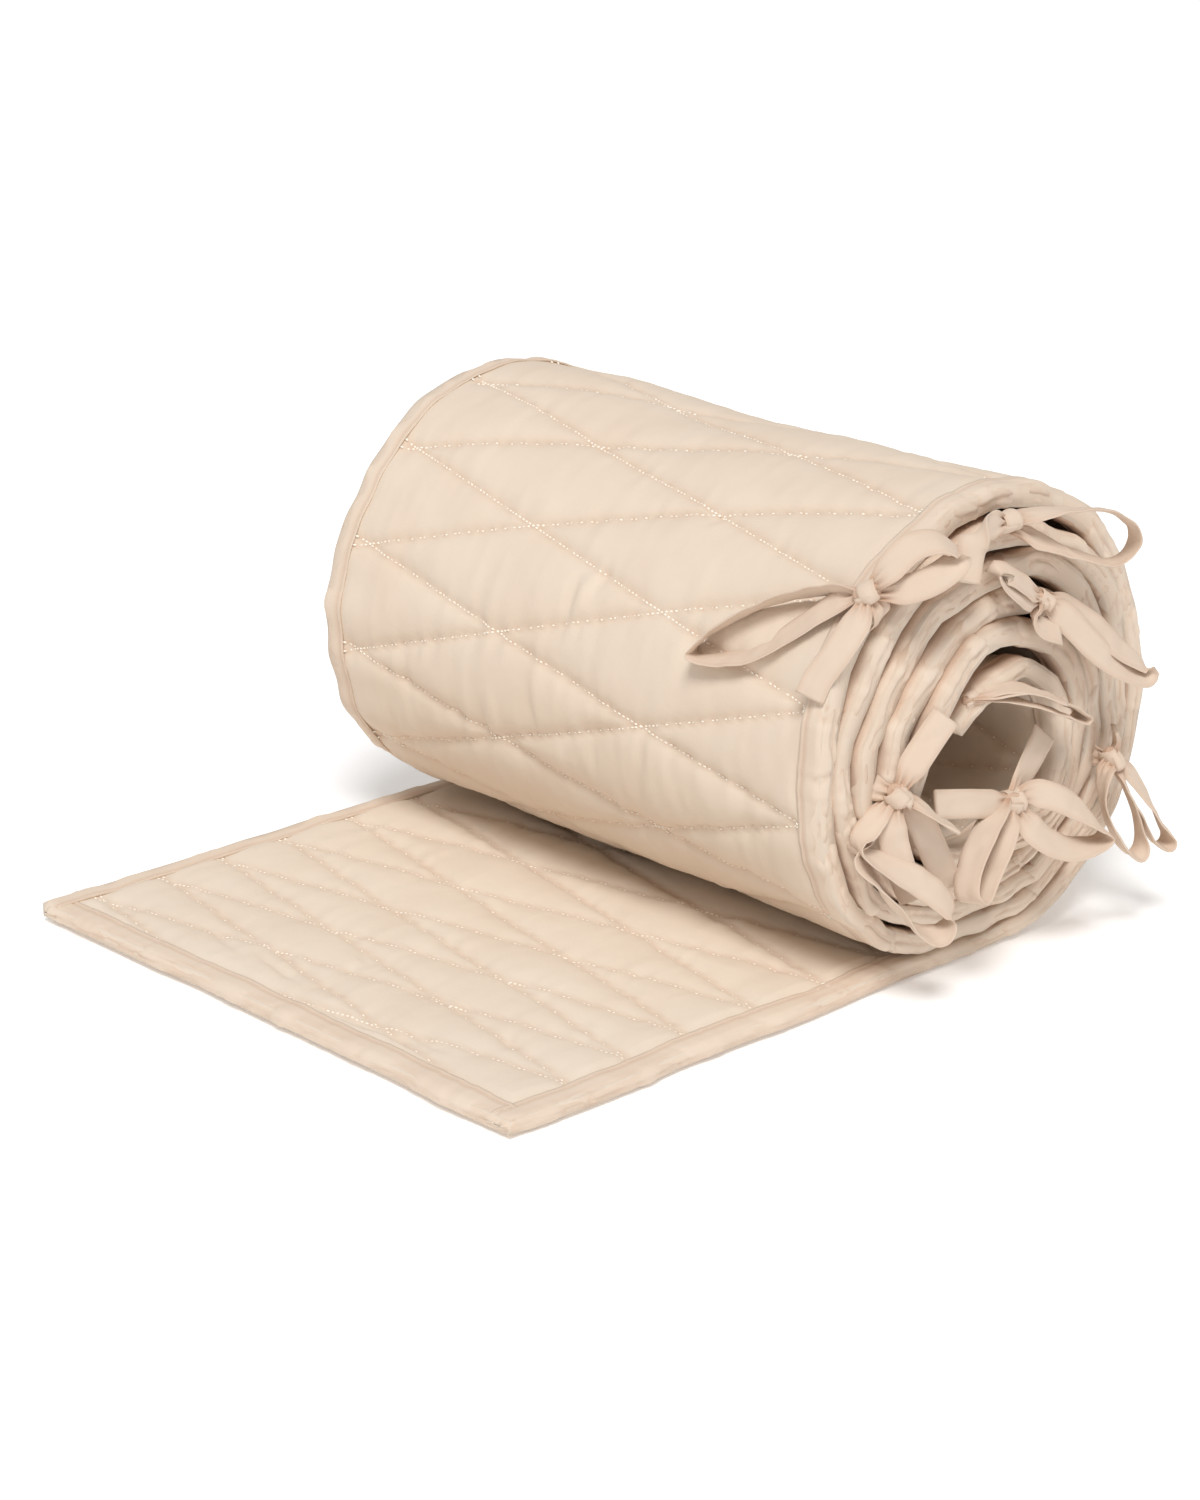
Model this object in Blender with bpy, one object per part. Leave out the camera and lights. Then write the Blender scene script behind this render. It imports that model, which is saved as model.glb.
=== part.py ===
"""Crib bumper, rolled up with its outer end lying flat.

A long quilted cotton panel is bound on all four edges with folded cloth strips. Narrow ribbons are sewn
along one long edge, and each is tied in a bow. The panel lies flat on the surface at its outer end, passes
under the roll, up its +X side, over the top and down the -X side, and winds on inwards round a small core.

Frame: +Z up, X along the flat end, Y along the roll's axis with the ties at -Y. The origin is on the surface,
in the middle of the whole object's footprint. Metres.
"""

import math
from collections import namedtuple

import bmesh
import bpy
import numpy as np
from mathutils import Vector

MM = 0.001

# Panel and bindings
PANEL_WIDTH = 0.300      # height of the bumper in the cot, bindings included
CLOTH = 0.009            # thickness over the padding, and over a bound edge
BOUND_CLOTH = 0.0064     # thickness of the panel where a binding holds it
BINDING_DEPTH = 0.012    # how far a binding reaches onto the panel
BINDING_WALL = 0.001     # the binding's cloth, doubled
FIT = 0.0003             # air between pieces that are sewn together
EDGE_SLOPE = 0.002       # the padding swells to full thickness over this width

# The roll
TAIL_LENGTH = 0.262      # flat part, from its end to below the core
CORE_HEIGHT = 0.076      # centre of the core above the surface
STEPS_PER_TURN = 18
TAIL_STEPS = 6
LAST_TURN = 5.62         # turns from below the core to the panel's inner end

# One row for each turn. The distances, in mm, run from the core's centre to the middle of the cloth, and
# slip is how far the turn has slid out towards the ties.
Turn = namedtuple("Turn", "turn south east north west slip")
TURNS = (
    Turn(0, 71.5, 94.5, 119.5, 95.0, 0.0),
    Turn(1, 61.7, 84.0, 106.0, 84.0, 1.0),
    Turn(2, 51.9, 73.5, 91.5, 73.0, 2.0),
    Turn(3, 42.1, 63.0, 76.5, 62.0, 3.0),
    Turn(4, 32.3, 52.5, 61.5, 51.0, 4.5),
    Turn(5, 22.5, 42.0, 41.0, 38.0, 5.0),
)

# Where the roll's axis and the middle of the panel's width lie, so that the footprint is centred
ROLL_X = 0.0808
PANEL_Y = 0.0166

# Ribbon ties
RIBBON_WIDTH = 0.012
RIBBON_THICKNESS = 0.0012
LOOP_STEPS = 8
TAIL_RIBBON_STEPS = 4
LOOP_ROUNDNESS = 0.9     # under 1, a loop stays wide nearer to its tip
RUN_GAP = 0.0015         # half the distance between a loop's two runs where they enter the knot
TIE_CLEARANCE = 0.0003   # the sewn root ends this far from the binding
ROOT_STRAIGHT = 0.003    # the root leaves the edge squarely for this length

# Each tie is sewn to the panel's edge at a turn, and knotted at a point in mm, measured from the roll's
# axis (x), the middle of the panel's width (y) and the surface (z).
Tie = namedtuple("Tie", "name turn knot")
TIES = (
    Tie("tie_1", 0.612, (-79, -154, 175)),
    Tie("tie_2", 1.506, (-4, -161, 188)),
    Tie("tie_3", 3.470, (15, -162, 156)),
    Tie("tie_4", 5.530, (-10, -165, 125)),
    Tie("tie_5", 2.714, (-66, -164, 91)),
    Tie("tie_6", 5.040, (0, -167, 70)),
    Tie("tie_7", 3.245, (66, -164, 74)),
)

# Each loop runs from its tie's knot to a tip and back. open is the gap between its two runs in mm, along
# the spread direction. The ribbon stands across the loop's plane.
Loop = namedtuple("Loop", "tie tip open spread")
LOOPS = (
    Loop("tie_1", (-102, -80, 143), 9, (-0.7, 0.0, -0.7)),
    Loop("tie_1", (-47, -171, 187), 10, (0.2, 0.3, 1.0)),
    Loop("tie_2", (60, -174, 172), 16, (-0.5, 0.2, -0.8)),
    Loop("tie_3", (72, -172, 114), 8, (-0.6, -0.3, -0.8)),
    Loop("tie_3", (-12, -165, 169), 4, (0.6, 0.0, 0.8)),
    Loop("tie_4", (35, -168, 104), 5, (0.4, 0.0, 0.9)),
    Loop("tie_5", (-62, -176, 34), 17, (-0.9, 0.2, 0.4)),
    Loop("tie_6", (-38, -177, 46), 9, (0.6, -0.3, -0.8)),
    Loop("tie_6", (45, -176, 50), 12, (0.4, 0.2, 0.9)),
    Loop("tie_7", (66, -177, 35), 7, (0.9, 0.2, 0.3)),
    Loop("tie_7", (86, -177, 37), 6, (0.9, 0.2, 0.3)),
)

# Each free end runs from its knot through a bend to its square tip, and broad is its width's direction.
FreeEnd = namedtuple("FreeEnd", "tie bend tip broad")
ENDS = (
    FreeEnd("tie_1", (-95, -154, 160), (-108, -153, 139), (0.3, 0.9, 0.3)),
    FreeEnd("tie_2", (-26, -167, 193), (-33, -166, 177), (1.0, 0.3, 0.1)),
    FreeEnd("tie_3", (14, -165, 145), (29, -167, 137), (0.3, 0.2, -0.9)),
    FreeEnd("tie_5", (-58, -166, 106), (-45, -166, 119), (0.7, 0.4, -0.6)),
    FreeEnd("tie_5", (-58, -172, 83), (-48, -179, 75), (0.5, 0.5, 0.7)),
    FreeEnd("tie_6", (-22, -169, 78), (-40, -170, 84), (0.3, 0.4, 0.9)),
    FreeEnd("tie_7", (70, -164, 82), (68, -162, 92), (0.9, 0.4, 0.0)),
)
KNOT_SIZE = (0.0065, 0.0045, 0.0055)   # half sizes of the knot's lump

# Colours are linear RGB
CLOTH_COLOUR = (0.80, 0.68, 0.54, 1.0)
BINDING_COLOUR = (0.79, 0.66, 0.53, 1.0)
RIBBON_COLOUR = (0.78, 0.65, 0.52, 1.0)
CLOTH_ROUGHNESS = 0.9


def clear_scene():
    """Remove every object that is in the file."""
    for obj in list(bpy.data.objects):
        bpy.data.objects.remove(obj, do_unlink=True)


def cloth_material(name, colour):
    """A matt cotton material of one colour."""
    material = bpy.data.materials.new(name)
    material.use_nodes = True
    shader = material.node_tree.nodes["Principled BSDF"]
    shader.inputs["Base Color"].default_value = colour
    shader.inputs["Roughness"].default_value = CLOTH_ROUGHNESS
    shader.inputs["Metallic"].default_value = 0.0
    material.diffuse_color = colour
    return material


def add_object(name, mesh, material):
    """Link a mesh as a named object with its material."""
    obj = bpy.data.objects.new(name, mesh)
    bpy.context.scene.collection.objects.link(obj)
    mesh.materials.append(material)
    return obj


# ---------------------------------------------------------------- the cloth's winding


def unit(vectors):
    """The vectors at length 1."""
    return vectors / np.linalg.norm(vectors, axis=-1, keepdims=True)


def along_quarters(values, turn):
    """Read a smooth curve through values given at each quarter turn (Catmull-Rom)."""
    padded = np.array([values[3], *values, values[-1], values[-1]])
    quarter = np.clip(np.floor(turn * 4).astype(int), 0, len(values) - 1)
    u = turn * 4 - quarter
    before, start, end, after = (padded[quarter + step] for step in range(4))
    return 0.5 * (
        2 * start
        + (end - before) * u
        + (2 * before - 5 * start + 4 * end - after) * u**2
        + (3 * start - before - 3 * end + after) * u**3
    )


def winding(turn):
    """Middle line of the cloth in the XZ plane and its slip, for turns counted from below the core."""
    turn = np.asarray(turn, dtype=float)
    reach = [distance for row in TURNS for distance in (row.south, row.east, row.north, row.west)]
    radius = along_quarters(reach, turn) * MM
    angle = 2 * math.pi * turn - math.pi / 2
    x = ROLL_X + radius * np.cos(angle)
    z = CORE_HEIGHT + radius * np.sin(angle)
    slip = np.interp(turn, [row.turn for row in TURNS], [row.slip for row in TURNS]) * MM
    return np.column_stack([x, z]), slip


def cloth_path():
    """Stations from the flat end to the inner end: points, inward normals and slips."""
    tail_x = np.linspace(-TAIL_LENGTH, 0, TAIL_STEPS + 1)[:-1]
    tail = np.column_stack([ROLL_X + tail_x, np.full(TAIL_STEPS, CLOTH / 2)])
    step = 1 / STEPS_PER_TURN
    turns = np.append(np.arange(0, LAST_TURN - step / 2, step), LAST_TURN)
    roll, roll_slip = winding(turns)
    points = np.vstack([tail, roll])
    slips = np.concatenate([np.zeros(TAIL_STEPS), roll_slip])
    ahead = unit(np.gradient(points, axis=0))
    normals = np.column_stack([-ahead[:, 1], ahead[:, 0]])
    normals[: TAIL_STEPS + 1] = (0.0, 1.0)
    return points, normals, slips


def closed_sweep(name, rings):
    """A closed body through rings of points, with flat ends."""
    mesh = bpy.data.meshes.new(name)
    bm = bmesh.new()
    loops = [[bm.verts.new(point) for point in ring] for ring in rings]
    count = len(loops[0])
    for loop, following in zip(loops, loops[1:]):
        for index in range(count):
            after = (index + 1) % count
            bm.faces.new((loop[index], following[index], following[after], loop[after]))
    bm.faces.new(loops[0])
    bm.faces.new(reversed(loops[-1]))
    bmesh.ops.recalc_face_normals(bm, faces=bm.faces)
    bm.to_mesh(mesh)
    bm.free()
    return mesh


def cloth_ring(point, normal, slip, section):
    """A section of (y, height) points, set square to the cloth at one station."""
    ring = []
    for y, height in section:
        place = point + normal * height
        ring.append((place[0], PANEL_Y + y - slip, place[1]))
    return ring


# ---------------------------------------------------------------- quilted panel


def panel_stations(path):
    """Stations and half thicknesses for the panel, whose ends lie inside the end bindings."""
    points, normals, slips = path
    depths = (BINDING_WALL + FIT, BINDING_DEPTH + FIT, BINDING_DEPTH + FIT + EDGE_SLOPE)
    halves = (BOUND_CLOTH / 2, BOUND_CLOTH / 2, CLOTH / 2)
    ends = []
    for tip, neighbour in ((0, 1), (-1, -2)):
        inward = unit(points[neighbour] - points[tip])
        rows = zip(depths, halves)
        ends.append([(points[tip] + inward * d, normals[tip], slips[tip], half) for d, half in rows])
    middle = [(point, normal, slip, CLOTH / 2) for point, normal, slip in zip(points, normals, slips)]
    return ends[0] + middle[1:-1] + ends[1][::-1]


def make_panel(path):
    """The padded panel: two cloths and padding quilted together, thinner where the bindings hold it."""
    edge = PANEL_WIDTH / 2 - BINDING_WALL - FIT
    inner = PANEL_WIDTH / 2 - BINDING_DEPTH - FIT
    full = inner - EDGE_SLOPE
    thin = BOUND_CLOTH / 2
    rings = []
    for point, normal, slip, half in panel_stations(path):
        section = (
            (-edge, -thin), (-edge, thin), (-inner, thin), (-full, half),
            (full, half), (inner, thin), (edge, thin), (edge, -thin),
            (inner, -thin), (full, -half), (-full, -half), (-inner, -thin),
        )
        rings.append(cloth_ring(point, normal, slip, section))
    material = cloth_material("quilted_cotton", CLOTH_COLOUR)
    return add_object("quilted_panel", closed_sweep("quilted_panel", rings), material)


# ---------------------------------------------------------------- bindings


def folded_section(outer, inward):
    """Corners of a strip folded over an edge: a channel that starts at outer and opens along inward."""
    base = outer + inward * BINDING_WALL
    lip = outer + inward * BINDING_DEPTH
    high = CLOTH / 2
    low = CLOTH / 2 - BINDING_WALL
    return (
        (outer, -high), (outer, high), (lip, high), (lip, low),
        (base, low), (base, -low), (lip, -low), (lip, -high),
    )


def make_long_binding(name, path, side, material):
    """A strip folded over a long edge, from one end of the panel to the other."""
    section = folded_section(side * PANEL_WIDTH / 2, -side)
    rings = [cloth_ring(point, normal, slip, section) for point, normal, slip in zip(*path)]
    return add_object(name, closed_sweep(name, rings), material)


def make_end_binding(name, path, tip, neighbour, material):
    """A strip folded over one end of the panel, between the two long bindings."""
    points, normals, slips = path
    inward = unit(points[neighbour] - points[tip])
    reach = PANEL_WIDTH / 2 - BINDING_DEPTH - FIT
    rings = []
    for y in (-reach, reach):
        ring = []
        for depth, height in folded_section(0.0, 1):
            place = points[tip] + inward * depth + normals[tip] * height
            ring.append((place[0], PANEL_Y + y - slips[tip], place[1]))
        rings.append(ring)
    return add_object(name, closed_sweep(name, rings), material)


# ---------------------------------------------------------------- ribbon ties


def tie_point(place):
    """A place in mm from the roll's axis, the panel's middle and the surface, as a point in metres."""
    return Vector((ROLL_X + place[0] * MM, PANEL_Y + place[1] * MM, place[2] * MM))


def ribbon_mesh(name, centres, broad):
    """A flat ribbon along a line of centres, with its width along broad and square ends."""
    rings = []
    last = len(centres) - 1
    for index, centre in enumerate(centres):
        ahead = (centres[min(index + 1, last)] - centres[max(index - 1, 0)]).normalized()
        across = (broad - ahead * broad.dot(ahead)).normalized() * RIBBON_WIDTH / 2
        up = ahead.cross(across).normalized() * RIBBON_THICKNESS / 2
        rings.append((centre - across - up, centre + across - up, centre + across + up, centre - across + up))
    return closed_sweep(name, rings)


def loop_strip(knot, tip, opening, spread):
    """A teardrop from the knot to the tip and back, its runs apart along spread. Its centres and width."""
    reach = tip - knot
    spread = (spread - reach * spread.dot(reach) / reach.length_squared).normalized()
    centres = []
    for step in range(LOOP_STEPS + 1):
        u = step / LOOP_STEPS
        along = math.sin(math.pi * u) ** LOOP_ROUNDNESS
        across = opening / 2 * math.sin(2 * math.pi * u) + RUN_GAP * math.cos(math.pi * u)
        centres.append(knot + reach * along + spread * across)
    return centres, reach.cross(spread)


def end_centres(knot, bend, tip):
    """A smooth run from the knot through the bend to the tip (a quadratic curve)."""
    control = bend * 2 - (knot + tip) / 2
    centres = []
    for step in range(TAIL_RIBBON_STEPS + 1):
        u = step / TAIL_RIBBON_STEPS
        centres.append(knot * (1 - u) ** 2 + control * 2 * u * (1 - u) + tip * u**2)
    return centres


def knot_mesh(name, knot):
    """The knot's rounded lump."""
    mesh = bpy.data.meshes.new(name)
    bm = bmesh.new()
    bmesh.ops.create_icosphere(bm, subdivisions=2, radius=1.0)
    bmesh.ops.scale(bm, vec=KNOT_SIZE, verts=bm.verts)
    bmesh.ops.translate(bm, vec=knot, verts=bm.verts)
    bm.to_mesh(mesh)
    bm.free()
    return mesh


def root_strip(turn, knot):
    """The folded root: straight out from the binding's edge, then to the knot. Its centres and width."""
    point, slip = winding([turn])
    sewn = Vector((point[0][0], PANEL_Y - PANEL_WIDTH / 2 - slip[0] - TIE_CLEARANCE, point[0][1]))
    outward = Vector((0.0, -1.0, 0.0))
    return [sewn, sewn + outward * ROOT_STRAIGHT, knot], outward.cross(knot - sewn)


def add_union(obj, name, mesh):
    """Join a closed mesh to an object with a Boolean union."""
    cutter = bpy.data.objects.new(name, mesh)
    bpy.context.scene.collection.objects.link(cutter)
    cutter.hide_render = True
    cutter.display_type = "WIRE"
    union = obj.modifiers.new(name, "BOOLEAN")
    union.operation = "UNION"
    union.solver = "EXACT"
    union.object = cutter


def make_tie(tie, material):
    """One ribbon tie: its sewn root, knot, loops and free ends, as one body."""
    knot = tie_point(tie.knot)
    obj = add_object(tie.name, knot_mesh(tie.name, knot), material)
    strips = [root_strip(tie.turn, knot)]
    for loop in LOOPS:
        if loop.tie == tie.name:
            strips.append(loop_strip(knot, tie_point(loop.tip), loop.open * MM, Vector(loop.spread)))
    for end in ENDS:
        if end.tie == tie.name:
            strips.append((end_centres(knot, tie_point(end.bend), tie_point(end.tip)), Vector(end.broad)))
    for index, (centres, broad) in enumerate(strips):
        strip_name = f"{tie.name}_strip_{index}"
        add_union(obj, strip_name, ribbon_mesh(strip_name, centres, broad))
    return obj


def main():
    clear_scene()
    path = cloth_path()
    binding_cloth = cloth_material("binding_cotton", BINDING_COLOUR)
    ribbon_cloth = cloth_material("ribbon_cotton", RIBBON_COLOUR)
    make_panel(path)
    make_long_binding("binding_tied_edge", path, -1, binding_cloth)
    make_long_binding("binding_plain_edge", path, 1, binding_cloth)
    make_end_binding("binding_outer_end", path, 0, 1, binding_cloth)
    make_end_binding("binding_inner_end", path, -1, -2, binding_cloth)
    for tie in TIES:
        make_tie(tie, ribbon_cloth)


main()
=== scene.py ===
"""Crib bumper, rolled up with its outer end lying flat: the finish of every piece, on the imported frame.

Metres, +Z up, X along the flat end, Y along the roll's axis with the ribbon ties at -Y. Lengths along the
cloth are counted from its outer end, and turns from the place below the core.
"""

import math
from collections import namedtuple

import bmesh
import bpy
import numpy as np
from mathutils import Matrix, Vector


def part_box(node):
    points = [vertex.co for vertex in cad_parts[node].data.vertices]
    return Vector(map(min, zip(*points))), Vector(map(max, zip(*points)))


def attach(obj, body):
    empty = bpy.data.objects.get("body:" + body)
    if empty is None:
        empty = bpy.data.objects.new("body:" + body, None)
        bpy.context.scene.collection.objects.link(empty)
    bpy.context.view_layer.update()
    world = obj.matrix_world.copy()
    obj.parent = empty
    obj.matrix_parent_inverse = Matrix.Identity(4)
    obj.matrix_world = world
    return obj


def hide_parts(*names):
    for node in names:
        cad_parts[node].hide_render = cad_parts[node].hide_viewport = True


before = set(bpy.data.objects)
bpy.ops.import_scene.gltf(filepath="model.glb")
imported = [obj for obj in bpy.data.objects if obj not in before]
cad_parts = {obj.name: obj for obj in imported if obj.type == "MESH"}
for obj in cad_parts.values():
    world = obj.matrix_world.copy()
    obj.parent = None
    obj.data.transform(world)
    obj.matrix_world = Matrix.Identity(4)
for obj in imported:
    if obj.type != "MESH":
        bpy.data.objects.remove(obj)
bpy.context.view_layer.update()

# ---------------------------------------------------------------- quilted panel
# One long panel: two plain cotton cloths with padding between them, machine quilted in long diamonds and
# rolled up from its inner end. The stitching draws the cloth down into soft valleys and gathers it into
# small puckers that run square to the seam.

MM = 0.001

end_low, end_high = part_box("binding_outer_end")
CLOTH = end_high.z - end_low.z  # thickness over the padding
PANEL_Y = (end_low.y + end_high.y) / 2  # middle of the panel's width
HALF_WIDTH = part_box("binding_plain_edge")[1].y - PANEL_Y
TAIL_LENGTH = 262 * MM  # flat part, from its end to below the core
ROLL_X = end_low.x + TAIL_LENGTH  # the roll's axis
CORE_HEIGHT = 76 * MM  # centre of the core above the surface
LAST_TURN = 5.62

# Distances in mm from the core's centre to the middle of the cloth at each quarter of a turn, and how far
# the turn has slid out towards the ties.
Turn = namedtuple("Turn", "turn south east north west slip")
TURNS = (
    Turn(0, 71.5, 94.5, 119.5, 95.0, 0.0),
    Turn(1, 61.7, 84.0, 106.0, 84.0, 1.0),
    Turn(2, 51.9, 73.5, 91.5, 73.0, 2.0),
    Turn(3, 42.1, 63.0, 76.5, 62.0, 3.0),
    Turn(4, 32.3, 52.5, 61.5, 51.0, 4.5),
    Turn(5, 22.5, 42.0, 41.0, 38.0, 5.0),
)

# Stretches of the inner turns that have slid out further, round a turn, over a share of a turn
Slide = namedtuple("Slide", "turn spread mm")
SLIDES = (
    Slide(1.62, 0.22, 1.5),
    Slide(2.62, 0.22, 3.0),
    Slide(3.62, 0.20, 5.0),
    Slide(4.60, 0.14, 9.0),
    Slide(5.50, 0.16, 5.0),
)


def between(before, start, end, after, u):
    """A Catmull-Rom cubic: the curve from start to end, at the share u of the way, that leaves start towards
    end - before and reaches end along after - start."""
    return 0.5 * (
        2 * start
        + (end - before) * u
        + (2 * before - 5 * start + 4 * end - after) * u**2
        + (3 * start - before - 3 * end + after) * u**3
    )


def reach_at(turn):
    """Distance in mm from the core's centre to the middle of the cloth: a Catmull-Rom curve through the turn
    table's quarters."""
    values = [distance for row in TURNS for distance in (row.south, row.east, row.north, row.west)]
    padded = np.array([values[3], *values, values[-1], values[-1]])
    quarter = np.clip(np.floor(turn * 4).astype(int), 0, len(values) - 1)
    return between(*(padded[quarter + step] for step in range(4)), turn * 4 - quarter)


def winding(turn):
    """x and z of the middle of the cloth: a circle about the core whose radius follows the turn table."""
    radius = reach_at(turn) * MM
    angle = 2 * math.pi * turn - math.pi / 2
    return ROLL_X + radius * np.cos(angle), CORE_HEIGHT + radius * np.sin(angle)


# The roll's middle line in fine steps, with its length and its unit tangent
ROLL_TURNS = np.linspace(0, LAST_TURN, 6001)
ROLL_X_LINE, ROLL_Z_LINE = winding(ROLL_TURNS)
ROLL_STEPS = np.hypot(np.diff(ROLL_X_LINE), np.diff(ROLL_Z_LINE))
ROLL_ARC = np.concatenate([[0], np.cumsum(ROLL_STEPS)])
LENGTH = TAIL_LENGTH + ROLL_ARC[-1]
AHEAD_X = np.gradient(ROLL_X_LINE, ROLL_ARC)
AHEAD_Z = np.gradient(ROLL_Z_LINE, ROLL_ARC)


def turn_at(s):
    """The turn at a length along the cloth: below 0 on the flat part, in turns of the outer winding."""
    one_turn = np.interp(1, ROLL_TURNS, ROLL_ARC)
    on_roll = np.interp(s - TAIL_LENGTH, ROLL_ARC, ROLL_TURNS)
    return np.where(s < TAIL_LENGTH, (s - TAIL_LENGTH) / one_turn, on_roll)


def length_at(turn):
    """The length along the cloth at a turn of the roll."""
    return TAIL_LENGTH + float(np.interp(turn, ROLL_TURNS, ROLL_ARC))


def rumple(u, v, seed):
    """Smooth random hills from -1 to 1, one for each unit of u and v: heights on a square grid, blended
    with a cubic step."""
    size = 97
    heights = np.random.default_rng(seed).uniform(-1, 1, (size, size))
    cell_u, cell_v = np.floor(u).astype(int), np.floor(v).astype(int)
    part_u, part_v = u - cell_u, v - cell_v
    part_u, part_v = part_u**2 * (3 - 2 * part_u), part_v**2 * (3 - 2 * part_v)
    low = heights[cell_u % size, cell_v % size] * (1 - part_u)
    low += heights[(cell_u + 1) % size, cell_v % size] * part_u
    high = heights[cell_u % size, (cell_v + 1) % size] * (1 - part_u)
    high += heights[(cell_u + 1) % size, (cell_v + 1) % size] * part_u
    return low * (1 - part_v) + high * part_v


# Broad dents and swells of the roll's outer turn: place by turn and by mm from the middle of the width,
# reach each way in mm, and height outwards in mm
Swell = namedtuple("Swell", "turn y along across out")
SWELLS = (
    Swell(0.50, 95, 60, 45, 1.6),
    Swell(0.50, 15, 70, 40, -3.0),
    Swell(0.66, -40, 50, 60, 1.2),
    Swell(0.30, 60, 70, 60, 1.5),
    Swell(3.50, -145, 50, 30, 1.5),
    Swell(4.50, -145, 45, 30, 3.5),
    Swell(5.50, -145, 32, 30, 6.5),
)


def lift(s, y):
    """How far the cloth's middle stands from the smooth winding, inwards: broad swells of the outer turn,
    waves along both edges of the roll that die away inwards, and low ripples on the flat part."""
    s, y = np.broadcast_arrays(s, y)
    turn = turn_at(s)
    rise = np.zeros(s.shape)
    for swell in SWELLS:
        along = (s - length_at(swell.turn)) / (swell.along * MM)
        across = (y / MM - swell.y) / swell.across
        rise -= swell.out * MM * np.exp(-(along**2) - across**2)
    from_edge = HALF_WIDTH - np.abs(y)
    side = np.sign(y) * 7
    wave = 2.0 * rumple(s / 0.034, side, 11) + 1.5 * rumple(s / 0.012, side, 12)
    rise += wave * MM * np.exp(-from_edge / 0.03) * np.clip(turn * 8, 0, 1) * np.clip(turn, 0.35, 1)
    flat = 0.5 + 0.5 * rumple(s / 0.045, y / 0.07, 13)
    return rise + 1.3 * MM * flat * np.clip(-turn * 6, 0, 1)


def cloth_point(s, y, height):
    """The place of a point of the cloth: its length along and place across the panel, and its height from
    the middle of the thickness towards the roll's inside."""
    s, y, height = np.broadcast_arrays(s, y, height)
    turn = turn_at(s)
    on_roll = s >= TAIL_LENGTH
    arc = s - TAIL_LENGTH
    x = np.where(on_roll, np.interp(arc, ROLL_ARC, ROLL_X_LINE), ROLL_X + arc)
    z = np.where(on_roll, np.interp(arc, ROLL_ARC, ROLL_Z_LINE), CLOTH / 2)
    ahead_x = np.where(on_roll, np.interp(arc, ROLL_ARC, AHEAD_X), 1.0)
    ahead_z = np.where(on_roll, np.interp(arc, ROLL_ARC, AHEAD_Z), 0.0)
    slip = np.interp(turn, [row.turn for row in TURNS], [row.slip for row in TURNS])
    for slide in SLIDES:
        slip = slip + slide.mm * np.exp(-(((turn - slide.turn) / slide.spread) ** 2))
    waver = 1.3 * rumple(s / 0.050, np.sign(y) * 5, 21) + 0.7 * rumple(s / 0.018, np.sign(y) * 5, 22)
    waver = waver * np.clip(turn * 4, 0.8, 1) * np.abs(y) / HALF_WIDTH
    out = height + lift(s, y)
    frayed = 1.8 * MM * rumple(y / 0.038, 0.5, 23) * np.exp(-s / 0.02)
    return np.stack(
        [x + frayed - ahead_z * out, PANEL_Y + y - (slip + waver) * MM, z + ahead_x * out], axis=-1
    )


# The quilting: two families of straight seams that cross at the tied edge's binding and every 90 mm from
# there. The table gives how many crossings have passed at a length along the cloth, in metres.
SEAM_START = -140 * MM  # the first row of crossings, from the middle of the width
SEAM_REPEAT = 180 * MM  # two rows of crossings
ROLL_SKEW = 0.2  # the seams lean by this share of a crossing in each repeat on the roll
Crossing = namedtuple("Crossing", "length count")
CROSSINGS = (
    Crossing(0.0050, 0),
    Crossing(0.0400, 1),
    Crossing(0.0715, 2),
    Crossing(0.1040, 3),
    Crossing(0.1410, 4),
    Crossing(0.1805, 5),
    Crossing(0.2180, 6),
    Crossing(0.2620, 6.8),
    Crossing(length_at(1), 19.8),
    Crossing(LENGTH, 19.8 + (LENGTH - length_at(1)) / 0.048),
)
CROSSING_LENGTHS = np.array([row.length for row in CROSSINGS])
CROSSING_COUNTS = np.array([row.count for row in CROSSINGS])


def crossings_at(s, y):
    """How many crossings have passed at a point of the cloth: the table's count, carried on past the outer
    end, less the roll's lean times the share of a repeat across."""
    first = (CROSSING_COUNTS[1] - CROSSING_COUNTS[0]) / (CROSSING_LENGTHS[1] - CROSSING_LENGTHS[0])
    count = np.interp(s, CROSSING_LENGTHS, CROSSING_COUNTS)
    count = count + np.minimum(s - CROSSING_LENGTHS[0], 0) * first
    lean = ROLL_SKEW * np.clip((s - TAIL_LENGTH) / 0.15, 0, 1)
    return count - lean * (y - SEAM_START) / SEAM_REPEAT


def seam_distances(s, y):
    """Distances in metres to the nearest seam of each family: the fraction of a crossing to the nearest
    whole number, times the local pitch."""
    count = crossings_at(s, y)
    pitch = 1 / np.interp(
        s,
        (CROSSING_LENGTHS[1:] + CROSSING_LENGTHS[:-1]) / 2,
        np.diff(CROSSING_COUNTS) / np.diff(CROSSING_LENGTHS),
    )
    across = (y - SEAM_START) / SEAM_REPEAT
    leaning_out, leaning_back = count + across, count - across
    return [np.abs(value - np.round(value)) * pitch for value in (leaning_out, leaning_back)]


BINDING_DEPTH = 12 * MM  # how far a binding reaches onto the panel
SEAM_THICKNESS = 4.4 * MM  # the panel's thickness along a seam
SEAM_SOFTNESS = 2.6 * MM  # the padding swells up steeply from a seam over about this width
PUFF = 1.0 * MM  # how far the loose faces swell past the padding's nominal thickness
BINDING_WALL = 0.9 * MM

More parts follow.
